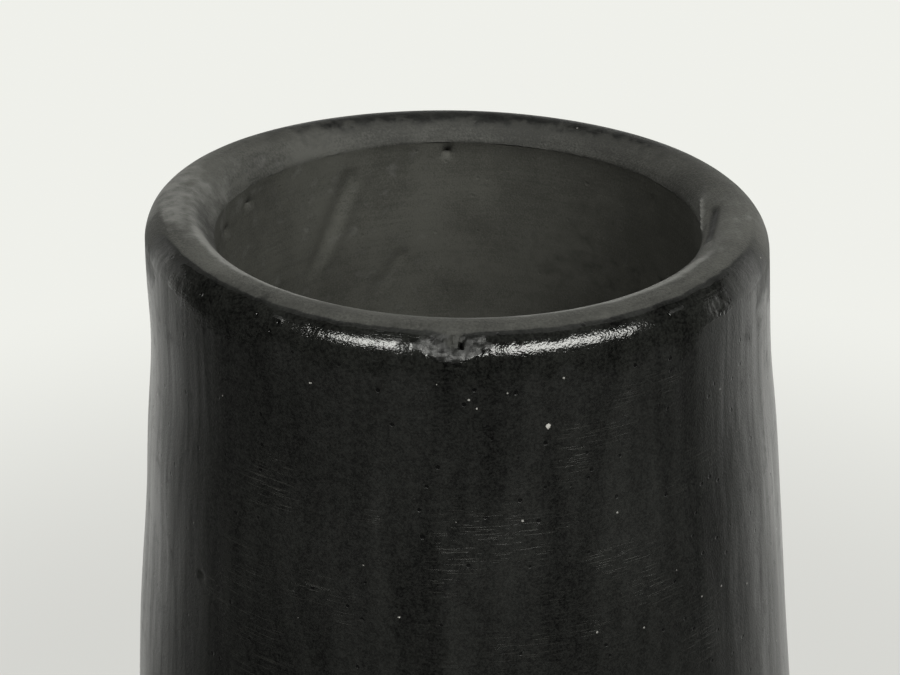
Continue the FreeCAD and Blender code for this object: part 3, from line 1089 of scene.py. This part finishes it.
@dataclass
class Studio:
    """Pale floor, plain soft light and the camera."""

    pot: PotProfile
    shape: HandShape
    pale: tuple = (0.864, 0.871, 0.826)
    warmth: tuple = (1.0, 1.003, 0.955)
    floor_paper: float = 0.14
    floor_light: float = 0.60
    # strength of the floor's glow right by the pot, a painted shadow
    floor_shade: float = 0.22
    distance: float = 4.718
    elevation: float = math.radians(22.5)
    pitch: float = math.radians(26.82)
    aside: float = -0.017
    lens: float = 58.24
    sensor: float = 36.0
    clip: tuple[float, float] = (0.01, 50.0)
    floor_radius: float = 12.0
    floor_sides: int = 96
    sheet_strength: float = 1.85
    sheet_dim: float = 0.044
    key_place: tuple[float, float] = (-0.50, 0.86)
    key_depth: float = 0.21
    key_power: float = 11.4
    key_lights: dict[str, tuple[float, float]] = field(
        default_factory=lambda: {"left": (-0.305, 0.32), "right": (0.45, 0.62)})

    def build(self) -> None:
        """Make everything that is not part of the pot."""
        self.camera()
        self.world()
        self.floor()
        for side, (middle, width) in self.key_lights.items():
            self.softbox(side + "_softbox", Vector((middle, *self.key_place)), width)
        bpy.context.scene.view_settings.view_transform = "Standard"

    def camera(self) -> None:
        """A camera in front of the mouth, looking down into it; distances are in mouth radii."""
        scale = self.pot.mouth_radius
        data = bpy.data.cameras.new("camera")
        data.lens = self.lens
        data.sensor_width = self.sensor
        data.clip_start, data.clip_end = self.clip
        eye = placed("camera", data)
        level, up = self.distance * math.cos(self.elevation), self.distance * math.sin(self.elevation)
        rim_x = self.shape.lean * (self.pot.lip_height - self.pot.shoulder_joint)
        eye.location = (rim_x + self.aside * scale, -level * scale, self.pot.lip_height + up * scale)
        eye.rotation_euler = (math.pi / 2 - self.pitch, 0.0, 0.0)
        bpy.context.scene.camera = eye

    def world(self) -> None:
        """A white surround behind the pot and dim elsewhere, plain and pale where the camera sees it."""
        world = bpy.data.worlds.new("studio")
        bpy.context.scene.world = world
        n = emptied(world)
        x, y, up = n.parts(n.add("ShaderNodeTexCoord").outputs["Generated"])
        behind = n.ramp(n.math("MULTIPLY_ADD", x, 0.08, y), 0.15, 0.94)
        sheet = n.layered(self.sheet_dim, (behind, n.times(n.ramp(up, 0.38, 0.12), self.sheet_strength)))
        seen = n.add("ShaderNodeLightPath").outputs["Is Camera Ray"]
        plain = n.add("ShaderNodeBackground", {"Color": (*self.pale, 1.0), "Strength": 1.0})
        light = n.add("ShaderNodeBackground", {"Color": (*self.warmth, 1.0), "Strength": sheet})
        mixed = n.add("ShaderNodeMixShader", {0: seen, 1: light.outputs[0], 2: plain.outputs[0]})
        n.add("ShaderNodeOutputWorld", {"Surface": mixed.outputs[0]})

    def floor(self) -> None:
        """A pale floor that takes the pot's shadow near by, with a painted shadow dimming its glow close to
        the pot, and fades into the surround.
        """
        turns = [2 * math.pi * k / self.floor_sides for k in range(self.floor_sides)]
        rim = [(self.floor_radius * math.cos(a), self.floor_radius * math.sin(a), 0.0) for a in turns]
        mesh = bpy.data.meshes.new("floor")
        mesh.from_pydata(rim, [], [list(range(self.floor_sides))])
        floor = placed("floor", mesh)
        material = bpy.data.materials.new("paper_floor")
        n = emptied(material)
        away = n.length(n.add("ShaderNodeTexCoord").outputs["Object"])
        blend = n.ramp(away, 0.24, 0.50)
        grey = self.floor_paper
        paper = n.add("ShaderNodeBsdfDiffuse", {"Color": (grey, grey, grey, 1.0)})
        # painted shadow: the floor's glow is dimmer close to the pot
        painted_shadow_glow = n.ramp(away, 0.05, 0.13, self.floor_shade, self.floor_light)
        lit = n.add("ShaderNodeEmission", {"Color": (*self.warmth, 1.0), "Strength": painted_shadow_glow})
        near = n.add("ShaderNodeAddShader", {0: paper.outputs[0], 1: lit.outputs[0]})
        glow = n.add("ShaderNodeEmission", {"Color": (*self.pale, 1.0), "Strength": 1.0})
        mixed = n.add("ShaderNodeMixShader", {0: blend, 1: near.outputs[0], 2: glow.outputs[0]})
        n.add("ShaderNodeOutputMaterial", {"Surface": mixed.outputs[0]})
        mesh.materials.append(material)
        floor.visible_glossy = False

    def softbox(self, name: str, place: Vector, width: float) -> None:
        """A soft rectangular light that faces the mouth.

        Args:
            name: the light's name.
            place: where its middle is.
            width: its level side, which also sets its power.
        """
        data = bpy.data.lights.new(name, "AREA")
        data.shape = "RECTANGLE"
        data.size = width
        data.size_y = self.key_depth
        data.energy = self.key_power * width
        data.color = self.warmth
        lamp = placed(name, data)
        lamp.location = place
        aim = Vector((0.0, 0.0, self.pot.height)) - place
        lamp.rotation_euler = aim.to_track_quat("-Z", "Y").to_euler()
        lamp.visible_camera = False


# ---------------------------------- the pot


def lip_marks() -> list[Mark]:
    """The lip's dent with its crumbs and pinhole, scuffs, painted light on its sides, painted highlights on
    its inner crests and the dark back.
    """
    crumbs = [(-9.0, 47, -0.09), (-6.2, 42, -0.13), (-4.8, 52, -0.15), (-4.0, 36, 0.13), (-2.8, 45, -0.14),
              (-2.2, 30, -0.14), (-1.2, 55, 0.13), (0.2, 27, -0.15), (1.7, 34, 0.11), (2.1, 54, -0.14),
              (2.9, 42, -0.13), (4.1, 50, 0.13), (5.2, 44, -0.10)]
    return [Mark(Spot(azimuth, bead=bead), 0.42, 0.34, depth, dull=0.4)
            for azimuth, bead, depth in crumbs] + [
        Mark(Spot(49, bead=27), 1.5, 0.8, 0.04, dull=0.25, rough=0.11),
        # painted highlights: the inner crests left and right of the front made pale where the light catches
        # them
        Mark(Spot(-42, bead=114), 16, 0.9, 0.0, dull=0.8, skin=-1.0, crisp=3.0),
        Mark(Spot(31, bead=114), 17, 0.9, 0.0, dull=0.75, skin=-1.0, crisp=3.0),
        Mark(Spot(-1.0, bead=48), 3.4, 1.9, 0.18, dull=0.45, skin=0.9, crisp=2.5),
        Mark(Spot(-0.2, bead=54), 1.9, 1.7, 0.06, dull=0.80, rough=0.16),
        Mark(Spot(0.8, bead=46), 0.20, 0.28, 1.3, dull=1.0, skin=1.2, crisp=3.0),
        Mark(Spot(3.9, bead=31), 0.6, 0.4, -0.12),
        Mark(Spot(-28, bead=5), 1.6, 0.8, 0.04, dull=0.45, rough=0.10),
        # painted light: the lip's left and right sides made paler, standing in for the light and sheen that
        # fall on them
        Mark(Spot(-98, bead=42), 21, 6.0, 0.0, dull=0.97, skin=-0.60, crisp=3.0),
        Mark(Spot(94, bead=40), 21, 6.0, 0.0, dull=0.97, skin=-0.30, crisp=3.0),
        Mark(Spot(180, bead=84), 40, 3.4, 0.0, dull=1.0, skin=0.62, crisp=2.5),
        Mark(Spot(-21, bead=84), 7.0, 1.3, 0.0, dull=0.9, skin=0.28),
        Mark(Spot(26, bead=78), 8.0, 1.1, 0.0, dull=0.9, skin=0.28),
        Mark(Spot(87, bead=20), 0.35, 0.35, 0.25),
    ]


def wall_marks() -> list[Mark]:
    """Pale sand grains in the burnished neck, pits along the seam, painted shade inside on the right and one
    dull pit.
    """
    grains = [(14, 226.3, 0.34), (-23, 229.5, 0.17), (-3, 231.0, 0.15), (3, 228.6, 0.15), (47, 221.0, 0.17),
              (-11, 211.5, 0.16), (25, 206.7, 0.16), (-9, 205.8, 0.15), (-40, 199.4, 0.17)]
    marks = [Mark(Spot(azimuth, height), size, size, -0.04, chalk=1.0)
             for azimuth, height, size in grains]
    pits = [(-101, 229.4, 0.7, 0.9), (-114, 231.0, 0.9, 0.8), (-178, 232.3, 0.7, 0.9), (120, 230.6, 0.5, 0.4)]
    marks += [Mark(Spot(azimuth, height, inside=True), size, 0.5, depth)
              for azimuth, height, size, depth in pits]
    # painted shade: a broad darker patch inside the right of the mouth, where less light falls
    marks.append(Mark(Spot(128, 214, inside=True), 22, 24, 0.0, dull=0.29, skin=1.0))
    marks.append(Mark(Spot(-46, 202), 0.5, 0.4, 0.25, dull=0.6))
    return marks


def drawn_marks() -> list[Groove]:
    """The lip's fold, its hairlines and short torn ridges, and the wiping strokes inside the mouth."""
    return [
        Groove(Spot(90, bead=124), Spot(70, bead=140), 0.75, 0.50, dull=0.8, skin=1.0),
        Groove(Spot(97, bead=136), Spot(82, bead=166), 0.34, -0.40, dull=0.9, skin=-0.5),
        Groove(Spot(58, bead=104), Spot(72, bead=124), 0.7, 0.22),
        Groove(Spot(-76, bead=48), Spot(-70, bead=103), 0.2, 0.08),
        Groove(Spot(-31, bead=50), Spot(-28.5, bead=44), 0.16, -0.13, dull=0.6),
        Groove(Spot(37, bead=46), Spot(41, bead=48), 0.16, -0.13, dull=0.6),
        Groove(Spot(-14, bead=17), Spot(-11.5, bead=16), 0.14, -0.10, dull=0.5),
        Groove(Spot(0, bead=22), Spot(-0.3, 228), 0.25, -0.07),
        Groove(Spot(-152, 231, inside=True), Spot(-137, 216, inside=True), 1.2, 0.42),
        Groove(Spot(-156, 231, inside=True), Spot(-141, 216, inside=True), 1.0, -0.22),
        Groove(Spot(-166, 218, inside=True), Spot(-158, 211, inside=True), 1.0, 0.28),
    ]


def main() -> None:
    """Build the studio and the pot, from the base up."""
    logging.basicConfig(level=logging.INFO, format="%(message)s")
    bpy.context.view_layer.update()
    pot = PotProfile()
    shape = HandShape(pot)
    Studio(pot, shape).build()
    effects = EffectGroups()
    wall_finish = ClayFinish("burnished_clay", "burnished_clay")
    lip_finish = ClayFinish("lip_clay", "lip_clay", matte_dark=(0.030, 0.030, 0.027),
                            matte_light=(0.076, 0.076, 0.069), matte_grain=0.085 * MM,
                            grain_size=0.28 * MM)
    base_finish = ClayFinish("base_clay", "base_clay", matte_dark=(0.034, 0.033, 0.030),
                             matte_light=(0.105, 0.102, 0.093), matte_roughness=0.84,
                             matte_grain=0.085 * MM, grain_size=0.34 * MM)
    marks = Marks(pot, lip_marks() + wall_marks(), drawn_marks())
    work = Workshop(pot, TurningTree(), marks, shape)
    pieces = [BasePatty(work, base_finish).build(base_finish.material(effects))]
    pieces += WallCourses(work, wall_finish).build(wall_finish.material(effects))
    pieces.append(LipCoil(work, lip_finish).build(lip_finish.material(effects)))
    log.info("%d pieces, %d faces", len(pieces), sum(len(p.data.polygons) for p in pieces))
    bpy.context.view_layer.update()


if __name__ == "__main__":
    main()
